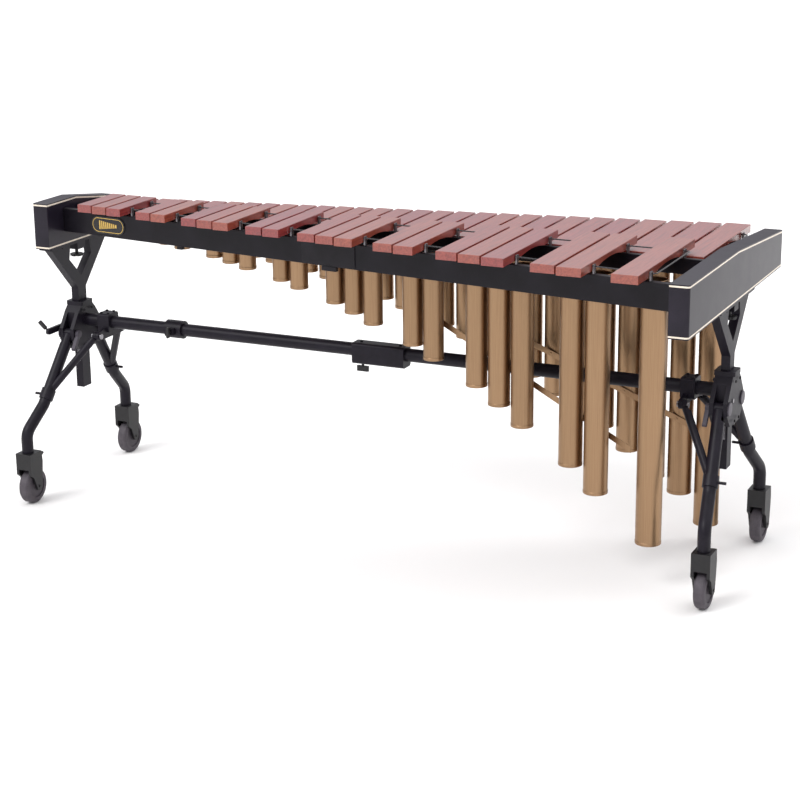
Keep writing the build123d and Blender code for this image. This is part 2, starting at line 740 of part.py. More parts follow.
boss_start = -hub_face - side_gap
arm_start = boss_start - crank_boss[1] + crank_arm[2]
elbow = Vector(arm_start - crank_arm[2] / 2, pinion_y - crank_arm[0], pinion_z)
grip_axis = Vector(-cos(radians(crank_tilt)), 0, sin(radians(crank_tilt)))
with BuildPart() as crank:
    add(pinion(HIGH, boss_start - crank_boss[1]))
    with BuildSketch(Plane.YZ.offset(boss_start)):
        with Locations((pinion_y, pinion_z)):
            Circle(crank_boss[0])
    extrude(amount=-crank_boss[1])
    with BuildSketch(Plane.YZ.offset(arm_start)):
        with Locations((pinion_y - crank_arm[0] / 2, pinion_z)):
            SlotCenterToCenter(crank_arm[0], crank_arm[1])
    extrude(amount=-crank_arm[2])
    with BuildSketch(Plane(origin=elbow, z_dir=grip_axis)):
        Circle(grip_pin_radius)
    extrude(amount=grip_start + grip_length - grip_end_wall)
save(crank.part, "crank")

with BuildPart() as crank_grip:
    with BuildSketch(Plane(origin=elbow + grip_axis * grip_start, z_dir=grip_axis)):
        Circle(grip_radius)
    extrude(amount=grip_length)
    fillet(crank_grip.edges().filter_by(GeomType.CIRCLE), grip_edge)
    with BuildSketch(Plane(origin=elbow, z_dir=grip_axis)):
        Circle(grip_pin_radius + running_gap)
    extrude(amount=grip_start + grip_length - grip_end_wall + side_gap, mode=Mode.SUBTRACT)
save(crank_grip.part, "crank_grip")


# ==== beam ====================================================================================
def beam_tube(end):
    inner_end_x = post_x - hub_width / 2
    with BuildPart() as tube:
        with BuildSketch(Plane.YZ.offset(end * beam_gap / 2)):
            with Locations((0, beam_z)):
                Circle(beam_radius)
                Circle(beam_radius - beam_wall, mode=Mode.SUBTRACT)
        extrude(amount=end * (inner_end_x - beam_gap / 2))
    return tube.part


for word, end in ENDS.items():
    save(beam_tube(end), f"beam_tube_{word}")

with BuildPart() as beam_sleeve:
    with BuildSketch(Plane.YZ.offset(sleeve[0])):
        with Locations((0, (sleeve_bottom + sleeve_top) / 2)):
            RectangleRounded(sleeve_width, sleeve_top - sleeve_bottom, sleeve_corner)
        with Locations((0, beam_z)):
            Circle(beam_radius + clamp_gap, mode=Mode.SUBTRACT)
    extrude(amount=sleeve[1] - sleeve[0])
    with BuildSketch(Plane((wing_screw_x, 0, sleeve_bottom))):
        Circle(wing_screw_radius + running_gap)
    extrude(amount=beam_z - sleeve_bottom, mode=Mode.SUBTRACT)
save(beam_sleeve.part, "beam_sleeve")

with BuildPart() as sleeve_wing_screw:
    screw_top = beam_z - beam_radius - side_gap
    with BuildSketch(Plane((wing_screw_x, 0, screw_top))):
        Circle(wing_screw_radius)
    extrude(amount=-(screw_top - sleeve_bottom) - wing_screw_length)
    with BuildSketch(Plane((wing_screw_x, 0, sleeve_bottom - wing_screw_length))):
        SlotOverall(wing[0], wing[1])
    extrude(amount=wing[2])
save(sleeve_wing_screw.part, "sleeve_wing_screw")

collar_x = (collar[0] + collar[1]) / 2
with BuildPart() as beam_collar:
    with BuildSketch(Plane.YZ.offset(collar[0])):
        with Locations((0, beam_z)):
            Circle(collar_radius)
    extrude(amount=collar[1] - collar[0])
    with BuildSketch(Plane.XZ.offset(collar_radius - collar_lug_root)):
        with Locations((collar_x, beam_z)):
            Rectangle(collar_lug[0], collar_lug[2])
    extrude(amount=collar_lug[1])
    with BuildSketch(Plane.YZ.offset(collar[0])):
        with Locations((0, beam_z)):
            Circle(beam_radius + clamp_gap)
    extrude(amount=collar[1] - collar[0], mode=Mode.SUBTRACT)
    with BuildSketch(Plane.XZ.offset(beam_radius - bore_overlap)):
        with Locations((collar_x, beam_z)):
            Circle(wing_screw_radius + running_gap)
    extrude(amount=collar_radius + collar_lug[1], mode=Mode.SUBTRACT)
save(beam_collar.part, "beam_collar")

lug_face = collar_radius - collar_lug_root + collar_lug[1]
with BuildPart() as collar_screw:
    with BuildSketch(Plane.XZ.offset(beam_radius + side_gap)):
        with Locations((collar_x, beam_z)):
            Circle(wing_screw_radius)
    extrude(amount=lug_face + collar_screw_stand_out - beam_radius - side_gap)
    with BuildSketch(Plane.XZ.offset(lug_face + collar_wing_start)):
        with Locations((collar_x, beam_z)):
            SlotOverall(collar_wing[0], collar_wing[1], rotation=90)
    extrude(amount=collar_wing[2])
save(collar_screw.part, "collar_screw")


# ==== strut brackets ==========================================================================
# outboard face of each strut lug
lug_x = bracket_x + strut_eye_gap - strut_eye_width / 2 + bracket_lug_set_out
strut_eye_x = lug_x + strut_eye_gap + strut_eye_width / 2


def strut_bracket(end):
    """Clamp on the beam with a lug at each side for a strut."""
    with BuildPart() as piece:
        with BuildSketch(Plane.YZ.offset(end * bracket_x - bracket_length / 2)):
            with Locations((0, beam_z)):
                beside, over = (2 * (beam_radius + wall) for wall in bracket_walls)
                RectangleRounded(beside, over, bracket_corner)
        extrude(amount=bracket_length)
        with BuildSketch(Plane.YZ.offset(end * lug_x)):
            half = strut_eye_radius
            low, high = hinge_z - half, hinge_z + half
            web = [(-hinge_y, low), (hinge_y, low), (hinge_y, high), (0, high + half), (-hinge_y, high)]
            Polygon(*web, align=None)
            with Locations((hinge_y, hinge_z), (-hinge_y, hinge_z)):
                Circle(half)
        extrude(amount=-end * bracket_lug)
        with BuildSketch(Plane.YZ.offset(end * bracket_x - bracket_length / 2)):
            with Locations((0, beam_z)):
                Circle(beam_radius + clamp_gap)
        extrude(amount=bracket_length, mode=Mode.SUBTRACT)
        with BuildSketch(Plane.YZ.offset(end * lug_x)):
            with Locations((hinge_y, hinge_z), (-hinge_y, hinge_z)):
                Circle(strut_bolt_radius + running_gap)
        extrude(amount=-end * bracket_lug, mode=Mode.SUBTRACT)
    return piece.part


def strut_bolt(end, side):
    """Bolt that a strut turns on, headed at both ends."""
    head_radius, head_height = strut_bolt_head
    start = lug_x - bracket_lug - side_gap
    stop = strut_eye_x + strut_eye_width / 2 + side_gap
    with BuildPart() as bolt:
        for x0, x1, radius in (
            (start - head_height, start, head_radius),
            (start, stop, strut_bolt_radius),
            (stop, stop + head_height, head_radius),
        ):
            with BuildSketch(Plane.YZ.offset(end * x0)):
                with Locations((side * hinge_y, hinge_z)):
                    Circle(radius)
            extrude(amount=end * (x1 - x0))
    return bolt.part


with BuildPart() as strut_brackets:
    for end in ENDS.values():
        add(strut_bracket(end))
save(strut_brackets.part, "strut_brackets")
with BuildPart() as strut_bolts:
    for end in ENDS.values():
        for side in SIDES.values():
            add(strut_bolt(end, side))
save(strut_bolts.part, "strut_bolts")


# ==== legs and struts =========================================================================
def corner(point, end, side):
    return Vector(end * point[0], side * point[1], point[2])


def leg(end, side):
    """Bent tube from its hinge eye in the hub to the caster's socket."""
    hinge = corner((post_x, hinge_y, hinge_z), end, side)
    knee_point, bend_point = corner(knee, end, side), corner(bend, end, side)
    foot = Vector(bend_point.X, bend_point.Y, caster_height)
    start = hinge + (knee_point - hinge).normalized() * (leg_eye_radius / 2)
    with BuildPart() as piece:
        with BuildLine() as route:
            FilletPolyline(start, knee_point, bend_point, foot, radius=[knee_radius, bend_radius])
        with BuildSketch(Plane(origin=route.line @ 0, z_dir=route.line % 0)):
            Circle(leg_radius)
            Circle(leg_radius - leg_wall, mode=Mode.SUBTRACT)
        sweep(path=route.line)
        with BuildSketch(Plane(foot)):
            Circle(leg_radius - leg_wall / 2)
        extrude(amount=foot_plug)
        with BuildSketch(Plane(foot)):
            Circle(stem_radius + running_gap)
        extrude(amount=foot_plug + leg_wall, mode=Mode.SUBTRACT)
        # the tube's head is flattened to the eye's width, and clear of the hub's throat
        with BuildSketch(Plane.YZ.offset(hinge.X - leg_eye_width / 2)):
            with Locations((hinge.Y, hinge.Z)):
                Circle(leg_eye_radius + leg_head_clearance)
        extrude(amount=-leg_radius, mode=Mode.SUBTRACT)
        with BuildSketch(Plane.YZ.offset(hinge.X + leg_eye_width / 2)):
            with Locations((hinge.Y, hinge.Z)):
                Circle(leg_eye_radius + leg_head_clearance)
        extrude(amount=leg_radius, mode=Mode.SUBTRACT)
        with BuildSketch(Plane.YZ.offset(hinge.X - leg_eye_width / 2)):
            with Locations((hinge.Y, hinge.Z)):
                Circle(leg_eye_radius)
        extrude(amount=leg_eye_width)
        with BuildSketch(Plane.YZ.offset(hinge.X - leg_eye_width / 2)):
            with Locations((hinge.Y, hinge.Z)):
                Circle(hinge_radius + running_gap)
        extrude(amount=leg_eye_width, mode=Mode.SUBTRACT)
    return piece.part


def strut(end, side):
    """Round brace from the beam's bracket to a saddle clamped on the leg above its knee."""
    hinge = corner((post_x, hinge_y, hinge_z), end, side)
    leg_run = corner(knee, end, side) - hinge
    saddle = hinge + leg_run * strut_share
    eye = corner((strut_eye_x, hinge_y, hinge_z), end, side)
    brace = saddle - eye
    outward = end if side == NEAR else -end
    with BuildPart() as piece:
        with BuildSketch(Plane(origin=eye + brace.normalized() * strut_radius, z_dir=brace)):
            Circle(strut_radius)
        extrude(amount=brace.length - strut_radius)
        with BuildSketch(Plane(origin=saddle, z_dir=leg_run)):
            Circle(saddle_radius)
        extrude(amount=saddle_half, both=True)
        with BuildSketch(Plane.YZ.offset(saddle.X)):
            with Locations((saddle.Y, saddle.Z)):
                Circle(spur[0])
        extrude(amount=outward * (saddle_radius + spur[1]))
        with BuildSketch(Plane(origin=saddle, z_dir=leg_run)):
            Circle(leg_radius + saddle_gap)
        extrude(amount=brace.length, both=True, mode=Mode.SUBTRACT)
        # the brace's head is cut away beyond the eye's two faces
        inboard, outboard = (eye.X - end * strut_eye_width / 2), (eye.X + end * strut_eye_width / 2)
        for face, direction in ((inboard, -end), (outboard, end)):
            with BuildSketch(Plane.YZ.offset(face)):
                with Locations((eye.Y, eye.Z)):
                    Circle(strut_eye_radius + strut_head_clearance)
            extrude(amount=direction * 2 * strut_radius, mode=Mode.SUBTRACT)
        with BuildSketch(Plane.YZ.offset(inboard)):
            with Locations((eye.Y, eye.Z)):
                Circle(strut_eye_radius)
        extrude(amount=end * strut_eye_width)
        with BuildSketch(Plane.YZ.offset(inboard)):
            with Locations((eye.Y, eye.Z)):
                Circle(strut_bolt_radius + running_gap)
        extrude(amount=end * strut_eye_width, mode=Mode.SUBTRACT)
    return piece.part


def leg_clamp(end, side):
    """Bolt through a leg's hinge, with a round cap outside and a lever inside."""
    cap_radius, cap_height = clamp_cap
    length, width, thickness = lever
    outer = post_x + hub_width / 2 + side_gap
    inner = post_x - hub_width / 2 - side_gap
    hinge = corner((inner, hinge_y, hinge_z), end, side)
    down_leg = corner(knee, end, side) - corner((post_x, hinge_y, hinge_z), end, side)
    down_leg.X = 0
    with BuildPart() as bolt:
        with BuildSketch(Plane.YZ.offset(end * outer)):
            with Locations((hinge.Y, hinge.Z)):
                Circle(cap_radius)
        extrude(amount=end * cap_height)
        fillet(bolt.faces().sort_by(Axis.X)[-1 if end == LOW else 0].edges(), cap_height / 2)
        with BuildSketch(Plane.YZ.offset(end * outer)):
            with Locations((hinge.Y, hinge.Z)):
                Circle(hinge_radius)
        extrude(amount=end * (inner - outer))
        with BuildSketch(Plane(origin=hinge, x_dir=down_leg, z_dir=(-end, 0, 0))):
            Circle(width)
            with Locations((length / 2, 0)):
                SlotOverall(length + width, width)
        extrude(amount=thickness)
    return bolt.part


for end_word, end in ENDS.items():
    for side_word, side in SIDES.items():
        save(leg(end, side), f"leg_{side_word}_{end_word}")
        save(strut(end, side), f"strut_{side_word}_{end_word}")
        save(leg_clamp(end, side), f"leg_clamp_{side_word}_{end_word}")


# ==== casters =================================================================================
def caster_fork(x, y):
    """Swivelling cover: a stem, two cheeks round the wheel, and the axle across them."""
    top = caster_height - caster_top_gap
    half = caster_width / 2
    cheek_gap = wheel_width / 2 + wheel_side_gap
    wheel_top = 2 * wheel_radius
    side_view = [(cover_front, top), (cover_back, top), cover_shoulder, cover_heel]
    side_view += [(wheel_trail + reach, wheel_radius) for reach in (axle_boss_radius, -axle_boss_radius)]
    side_view += [cover_throat, cover_brow]
    outline = [(y + run, z) for run, z in side_view]
    pivot = (y + pedal_pivot[0], pedal_pivot[1])
    with BuildPart() as piece:
        with BuildSketch(Plane.YZ.offset(x - half)):
            Polygon(*outline, align=None)
            with Locations((y + wheel_trail, wheel_radius)):
                Circle(axle_boss_radius)
        extrude(amount=caster_width)
        with BuildSketch(Plane.YZ.offset(x - cheek_gap)):
            with Locations((y, (wheel_top + wheel_top_gap) / 2)):
                Rectangle(2 * wheel_top, wheel_top + wheel_top_gap)
        extrude(amount=2 * cheek_gap, mode=Mode.SUBTRACT)
        pedal_half = pedal_width / 2 + side_gap
        with BuildSketch(Plane.YZ.offset(x - pedal_half)):
            with Locations((pivot[0] + pedal_slot[0], (wheel_top + top - cover_roof) / 2)):
                Rectangle(pedal_slot[1], top - cover_roof - wheel_top)
        extrude(amount=2 * pedal_half, mode=Mode.SUBTRACT)
        for point, radius in ((pivot, pedal_pin_radius), ((y + wheel_trail, wheel_radius), axle_radius)):
            with BuildSketch(Plane.YZ.offset(x - half)):
                with Locations(point):
                    Circle(radius + running_gap)
            extrude(amount=caster_width, mode=Mode.SUBTRACT)
        with BuildSketch(Plane((x, y, top))):
            Circle(stem_radius)
        extrude(amount=stem_length)
        with BuildSketch(Plane.YZ.offset(x - half - axle_stand_out)):
            with Locations((y + wheel_trail, wheel_radius)):
                Circle(axle_radius)
        extrude(amount=caster_width + 2 * axle_stand_out)
    return piece.part


def caster_wheel(x, y):
    """Rounded tyre on a dished core, bored for the axle."""
    half = wheel_width / 2
    with BuildPart() as wheel:
        with BuildSketch(Plane.YZ.offset(x - half)):
            with Locations((y + wheel_trail, wheel_radius)):
                Circle(wheel_radius)
        extrude(amount=wheel_width)
        fillet(wheel.edges().filter_by(GeomType.CIRCLE), tyre_edge)
        for face, direction in ((x - half, 1), (x + half, -1)):
            with BuildSketch(Plane.YZ.offset(face)):
                with Locations((y + wheel_trail, wheel_radius)):
                    Circle(wheel_radius * dish_share)
                    Circle(axle_boss_radius, mode=Mode.SUBTRACT)
            extrude(amount=direction * dish_depth, mode=Mode.SUBTRACT)
        with BuildSketch(Plane.YZ.offset(x - half)):
            with Locations((y + wheel_trail, wheel_radius)):
                Circle(axle_radius + running_gap)
        extrude(amount=wheel_width, mode=Mode.SUBTRACT)
    return wheel.part


def brake_pedal(x, y):
    """Foot lever at the back of a caster, on a pin across its cheeks."""
    py, pz = y + pedal_pivot[0], pedal_pivot[1]
    half = pedal_thickness / 2
    toe = y + pedal_reach
    outline = [(py - pedal_heel, pz - half), (toe - pedal_toe_start, pz - half), (toe, pz + pedal_toe_low)]
    outline += [(toe - pedal_toe_lip, pz + pedal_toe_high), (toe - pedal_toe_start, pz + half)]
    outline += [(py - pedal_heel, pz + half)]
    with BuildPart() as pedal:
        with BuildSketch(Plane.YZ.offset(x - pedal_width / 2)):
            Polygon(*outline, align=None)
        extrude(amount=pedal_width)
        with BuildSketch(Plane.YZ.offset(x - caster_width / 2)):
            with Locations((py, pz)):
                Circle(pedal_pin_radius)
        extrude(amount=caster_width)
    return pedal.part


for end_word, end in ENDS.items():
    for side_word, side in SIDES.items():
        x, y = end * bend[0], side * bend[1]
        save(caster_fork(x, y), f"caster_fork_{side_word}_{end_word}")
        save(caster_wheel(x, y), f"caster_wheel_{side_word}_{end_word}")
        save(brake_pedal(x, y), f"brake_pedal_{side_word}_{end_word}")
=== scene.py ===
import json
import math
import random

import bmesh
import bpy
from mathutils import Matrix, Vector

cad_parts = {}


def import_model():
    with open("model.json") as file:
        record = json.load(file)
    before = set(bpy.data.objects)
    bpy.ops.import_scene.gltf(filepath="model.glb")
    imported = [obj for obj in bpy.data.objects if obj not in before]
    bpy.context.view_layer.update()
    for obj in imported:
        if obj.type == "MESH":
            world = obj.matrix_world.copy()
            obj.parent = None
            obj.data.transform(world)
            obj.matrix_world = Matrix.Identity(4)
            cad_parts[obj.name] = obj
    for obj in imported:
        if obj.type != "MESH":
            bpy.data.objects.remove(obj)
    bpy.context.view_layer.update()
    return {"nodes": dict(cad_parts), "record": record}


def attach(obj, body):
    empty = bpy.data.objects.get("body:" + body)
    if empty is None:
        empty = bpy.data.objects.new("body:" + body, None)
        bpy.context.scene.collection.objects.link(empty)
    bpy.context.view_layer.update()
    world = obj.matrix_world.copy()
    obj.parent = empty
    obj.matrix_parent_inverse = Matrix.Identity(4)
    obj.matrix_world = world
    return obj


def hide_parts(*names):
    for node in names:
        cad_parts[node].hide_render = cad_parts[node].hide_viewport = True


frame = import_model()

# Concert mallet instrument on a wheeled stand. Metres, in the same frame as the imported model:
# +X to the low notes, +Y to the naturals side, +Z up.

RECORD = frame["record"]
BODY_OF = {node: body for body, nodes in RECORD["behaviour"]["bodies"].items() for node in nodes}
SLOT_OF = {part["node"]: part["material_slot"] for part in RECORD["subparts"]}
MM = 0.001
SEED = 20

# ---- camera ----------------------------------------------------------------------------------
CAMERA_PLACE = (2.3665, -4.926, 1.996)
CAMERA_TURN, CAMERA_FALL, CAMERA_ROLL = 25.03, 16.34, -0.59  # degrees
CAMERA_LENS, SENSOR = 88.87, 36.0
CAMERA_SHIFT = (-0.0017, -0.0090)
CAMERA_REACH = 100


def camera():
    """Long lens on the audience side, looking down across the low end."""
    turn, fall, roll = (math.radians(a) for a in (CAMERA_TURN, CAMERA_FALL, CAMERA_ROLL))
    level = Vector((math.cos(turn), math.sin(turn), 0))
    back = Vector((math.sin(turn) * math.cos(fall), -math.cos(turn) * math.cos(fall), math.sin(fall)))
    upright = back.cross(level)
    right = level * math.cos(roll) + upright * math.sin(roll)
    up = upright * math.cos(roll) - level * math.sin(roll)
    data = bpy.data.cameras.new("camera")
    data.lens, data.sensor_width = CAMERA_LENS, SENSOR
    data.shift_x, data.shift_y = CAMERA_SHIFT
    data.clip_end = CAMERA_REACH
    view = bpy.data.objects.new("camera", data)
    axes = Matrix((right, up, back)).transposed().to_4x4()
    view.matrix_world = Matrix.Translation(CAMERA_PLACE) @ axes
    bpy.context.collection.objects.link(view)
    bpy.context.scene.camera = view


camera()
bpy.context.scene.view_settings.view_transform = "Standard"


# ==== materials ===============================================================================
def linear(code):
    """sRGB hex to linear red, green, blue, alpha."""
    parts = [int(code[i:i + 2], 16) / 255 for i in (0, 2, 4)]
    return [c / 12.92 if c <= 0.04045 else ((c + 0.055) / 1.055) ** 2.4 for c in parts] + [1.0]


def add_node(tree, kind, settings=None, values=None, **links):
    """Adds a node with its settings, its unlinked inputs' values, and its links by input name."""
    new = tree.nodes.new(kind)
    for name, value in (settings or {}).items():
        setattr(new, name, value)
    for name, value in (values or {}).items():
        new.inputs[name].default_value = value
    for name, source in links.items():
        tree.links.new(source, new.inputs[name])
    return new


def ramp(tree, source, stops):
    """Colour ramp through hex colours at their places."""
    new = add_node(tree, "ShaderNodeValToRGB", Fac=source)
    elements = new.color_ramp.elements
    while len(elements) < len(stops):
        elements.new(0.5)
    for element, (place, code) in zip(elements, stops):
        element.position, element.color = place, linear(code)
    return new.outputs["Color"]


def level(tree, source, low, high):
    """A pattern's 0 to 1 brought to another range."""
    new = add_node(tree, "ShaderNodeMapRange", values={"To Min": low, "To Max": high}, Value=source)
    return new.outputs["Result"]


def material(name, values):
    """New material with one Principled shader whose even values are set on its own sockets."""
    made = bpy.data.materials.new(name)
    made.use_nodes = True
    tree = made.node_tree
    shader = tree.nodes["Principled BSDF"]
    for key, value in values.items():
        shader.inputs[key].default_value = value
    return made, tree, shader


def place(tree, scale=(1, 1, 1)):
    """Object coordinates, stretched for a grain."""
    where = add_node(tree, "ShaderNodeTexCoord").outputs["Object"]
    return add_node(tree, "ShaderNodeMapping", values={"Scale": scale}, Vector=where).outputs["Vector"]


def noise(tree, where, size_mm, detail=3.0, rough=0.55, distortion=0.0):
    """Noise whose features are about size_mm across where the coordinates are not stretched."""
    values = {"Scale": 1 / (size_mm * MM), "Detail": detail, "Roughness": rough}
    values["Distortion"] = distortion
    return add_node(tree, "ShaderNodeTexNoise", values=values, Vector=where).outputs["Fac"]


def bump(tree, shader, height, depth_mm, strength):
    """A height pattern, depth_mm deep, on the shader's surface."""
    values = {"Distance": depth_mm * MM, "Strength": strength}
    new = add_node(tree, "ShaderNodeBump", values=values, Height=height)
    tree.links.new(new.outputs["Normal"], shader.inputs["Normal"])


def towards(tree, factor, colour, code):
    """A colour brought some way towards a hex colour."""
    new = add_node(tree, "ShaderNodeMix", {"data_type": "RGBA"})
    sockets = {socket.identifier: socket for socket in new.inputs}
    tree.links.new(factor, sockets["Factor_Float"])
    tree.links.new(colour, sockets["A_Color"])
    sockets["B_Color"].default_value = linear(code)
    return next(socket for socket in new.outputs if socket.identifier == "Result_Color")


def shade_of(tree):
    """The 0 to 1 number that tells one solid of a piece from the next."""
    return add_node(tree, "ShaderNodeAttribute", {"attribute_name": "tone"}).outputs["Fac"]


def finish(tree, shader, colour, pattern, smooth, rough):
    """Base colour, and a roughness that follows a pattern."""
    tree.links.new(colour, shader.inputs["Base Color"])
    tree.links.new(level(tree, pattern, smooth, rough), shader.inputs["Roughness"])


GRAIN = (1, 0.045, 1)  # the wood's figure is drawn out along each bar
BAR_OFFSET = 7.0  # metres of pattern between one bar's shade and the next


def rosewood():
    """Rosewood: planed, oiled and hand-rubbed. Long reddish streaks run along each bar with fine open
    pores, each bar is its own shade, and the wax gives a satin sheen."""
    made, tree, shader = material("oiled_rosewood", {
        "Metallic": 0.0, "IOR": 1.5, "Coat Weight": 0.9, "Coat Roughness": 0.24, "Coat IOR": 1.55,
    })
    tone = shade_of(tree)
    shifted = add_node(tree, "ShaderNodeVectorMath", {"operation": "ADD"})
    tree.links.new(place(tree), shifted.inputs[0])
    offset = add_node(tree, "ShaderNodeCombineXYZ", X=tone, Y=tone, Z=tone)
    scaled = add_node(tree, "ShaderNodeVectorMath", {"operation": "SCALE"}, {"Scale": BAR_OFFSET})
    tree.links.new(offset.outputs[0], scaled.inputs[0])
    tree.links.new(scaled.outputs[0], shifted.inputs[1])
    where = shifted.outputs[0]
    along = add_node(tree, "ShaderNodeMapping", values={"Scale": GRAIN}, Vector=where).outputs["Vector"]
    streaks = noise(tree, along, size_mm=5.0, detail=5, rough=0.6, distortion=0.4)
    fine = noise(tree, along, size_mm=1.3, detail=3, rough=0.6)
    pores = noise(tree, along, size_mm=0.7, detail=2, rough=0.5)
    clouds = noise(tree, where, size_mm=45.0, detail=2)
    wood = ramp(tree, streaks, [(0.25, "5C231B"), (0.45, "83362A"), (0.6, "954233"), (0.8, "A85542")])
    wood = towards(tree, level(tree, fine, 0.0, 0.35), wood, "642A22")
    wood = towards(tree, level(tree, clouds, 0.0, 0.35), wood, "883A38")
    varied = add_node(tree, "ShaderNodeHueSaturation", values={"Saturation": 1.02}, Color=wood)
    tree.links.new(level(tree, tone, 0.488, 0.506), varied.inputs["Hue"])
    tree.links.new(level(tree, tone, 0.9, 1.1), varied.inputs["Value"])
    finish(tree, shader, varied.outputs["Color"], fine, 0.30, 0.44)
    bump(tree, shader, pores, depth_mm=0.05, strength=0.5)
    return made


def anodised_gold():
    """Drawn aluminium tube, brushed along its length, then anodised champagne gold: long faint draw
    lines stretch the highlights into soft vertical bands."""
    made, tree, shader = material("anodised_aluminium", {"Metallic": 1.0, "Anisotropic": 0.35})
    drawn = noise(tree, place(tree, scale=(1, 1, 0.012)), size_mm=1.6, detail=4, rough=0.6)
    clouds = noise(tree, place(tree), size_mm=60.0, detail=2)
    gold = ramp(tree, drawn, [(0.3, "93765A"), (0.7, "A48667")])
    gold = towards(tree, level(tree, clouds, 0.0, 0.3), gold, "957860")
    varied = add_node(tree, "ShaderNodeHueSaturation", Color=gold)
    tree.links.new(level(tree, shade_of(tree), 0.93, 1.05), varied.inputs["Value"])
    finish(tree, shader, varied.outputs["Color"], drawn, 0.30, 0.42)
    bump(tree, shader, drawn, depth_mm=0.03, strength=0.35)
    return made


def powder_coat(name, dark, light, rough):
    """Steel or casting with a baked powder coat: faint orange-peel about a millimetre across, and a
    little dust that dulls it in patches."""
    made, tree, shader = material(name, {"Metallic": 0.0, "IOR": 1.5, "Specular IOR Level": 0.2})
    peel = noise(tree, place(tree), size_mm=1.4, detail=2)
    dust = noise(tree, place(tree), size_mm=35.0, detail=4, rough=0.65)
    colour = ramp(tree, dust, [(0.3, dark), (0.75, light)])
    finish(tree, shader, colour, dust, rough - 0.06, rough + 0.1)
    bump(tree, shader, peel, depth_mm=0.04, strength=0.45)
    return made


def lacquer(name, dark, light, rough, coat):
    """Hardwood sprayed with satin black lacquer: its grain shows through as long shallow lines."""
    made, tree, shader = material(name, {
        "Metallic": 0.0, "IOR": 1.5, "Specular IOR Level": 0.18,
        "Coat Weight": coat, "Coat Roughness": 0.22,
    })
    pores = noise(tree, place(tree, scale=(0.05, 0.05, 1)), size_mm=1.1, detail=3, rough=0.6)
    dust = noise(tree, place(tree), size_mm=70.0, detail=4, rough=0.6)
    colour = ramp(tree, dust, [(0.3, dark), (0.75, light)])
    finish(tree, shader, colour, dust, rough - 0.05, rough + 0.07)
    bump(tree, shader, pores, depth_mm=0.05, strength=0.35)
    return made


def moulded(name, dark, light, rough, grain_mm=0.8, depth_mm=0.05):
    """Injection-moulded plastic or rubber, with the fine spark-eroded grain of its mould."""
    made, tree, shader = material(name, {"Metallic": 0.0, "IOR": 1.47})
    grain = noise(tree, place(tree), grain_mm, detail=2)
    wear = noise(tree, place(tree), size_mm=18.0, detail=4, rough=0.6)
    colour = ramp(tree, wear, [(0.3, dark), (0.75, light)])
    finish(tree, shader, colour, wear, rough - 0.05, rough + 0.08)
    bump(tree, shader, grain, depth_mm, strength=0.5)
    return made


def bright_metal(name, dark, light, rough):
    """Bare or plated steel and aluminium fittings, turned or milled, with fine tool lines."""
    made, tree, shader = material(name, {"Metallic": 1.0})
    lines = noise(tree, place(tree, scale=(1, 1, 0.2)), size_mm=0.9, detail=3)
    colour = ramp(tree, lines, [(0.3, dark), (0.7, light)])
    finish(tree, shader, colour, lines, rough - 0.06, rough + 0.1)
    bump(tree, shader, lines, depth_mm=0.02, strength=0.4)
    return made


def braided_cord():
    """Braided polyester cord: strands about a millimetre wide, drawn as a fine diagonal weave."""
    made, tree, shader = material("braided_cord", {"Metallic": 0.0, "Sheen Weight": 0.3})
    strand_mm = 2.4
    weave = add_node(
        tree, "ShaderNodeTexWave", {"bands_direction": "DIAGONAL"},
        {"Scale": 1 / (strand_mm * MM) / math.tau, "Distortion": 1.0}, Vector=place(tree),
    ).outputs["Fac"]
    colour = ramp(tree, weave, [(0.2, "1A181B"), (0.8, "3A373B")])
    finish(tree, shader, colour, weave, 0.7, 0.9)
    bump(tree, shader, weave, depth_mm=0.3, strength=0.7)
    return made


MATERIALS = {
    "rosewood": rosewood(),
    "resonator_gold": anodised_gold(),
    "black_enamel": powder_coat("black_powder_coat", "120F17", "1E1A24", 0.42),
    "clamp_metal": powder_coat("grey_enamel", "3E3A42", "4E4952", 0.38),
    "rail_fittings": powder_coat("black_fitting_enamel", "141217", "1E1B21", 0.34),
    "block_lacquer": lacquer("satin_black_lacquer", "19151F", "241F2A", 0.36, 0.12),
    "rail_lacquer": lacquer("black_rail_lacquer", "100D13", "18151C", 0.40, 0.04),
    "inlay": moulded("ivory_binding", "DDD0BE", "EFE4D4", 0.38, 1.2, 0.02),
    "badge_plate": moulded("badge_enamel", "0B0A0C", "151317", 0.25, 1.0, 0.01),
    "screw_plastic": moulded("black_nylon", "0F0E10", "1C1A1D", 0.48),
    "caster_cover": moulded("caster_nylon", "0E0D0F", "1A181B", 0.45),
    "caster_tyre": moulded("grey_tyre_rubber", "3F3A40", "534D53", 0.62, 1.0, 0.08),
    "post_aluminium": bright_metal("grey_anodised_posts", "6A686C", "8A878B", 0.42),
    "rack_steel": bright_metal("milled_steel", "77757A", "A09EA2", 0.36),
    "cord_fibre": braided_cord(),
    "gold_leaf": bright_metal("gold_plate", "C9A24E", "E3C479", 0.30),
}
MATERIALS["strip_gold"] = MATERIALS["resonator_gold"]


# ==== mesh tools ==============================================================================
WELD = 0.005 * MM
FLAT, CREASE, RIM_CREASE = (math.radians(angle) for angle in (0.4, 32, 40))


def link(name, mesh):
    """New object with this mesh, in the scene."""
    piece = bpy.data.objects.new(name, mesh)
    bpy.context.collection.objects.link(piece)
    return piece


def applied(piece):
    """The piece's modifiers turned into a plain mesh."""
    bpy.context.view_layer.update()
    evaluated = piece.evaluated_get(bpy.context.evaluated_depsgraph_get())
    mesh = bpy.data.meshes.new_from_object(evaluated)
    piece.modifiers.clear()
    old, piece.data = piece.data, mesh
    bpy.data.meshes.remove(old)
    return piece


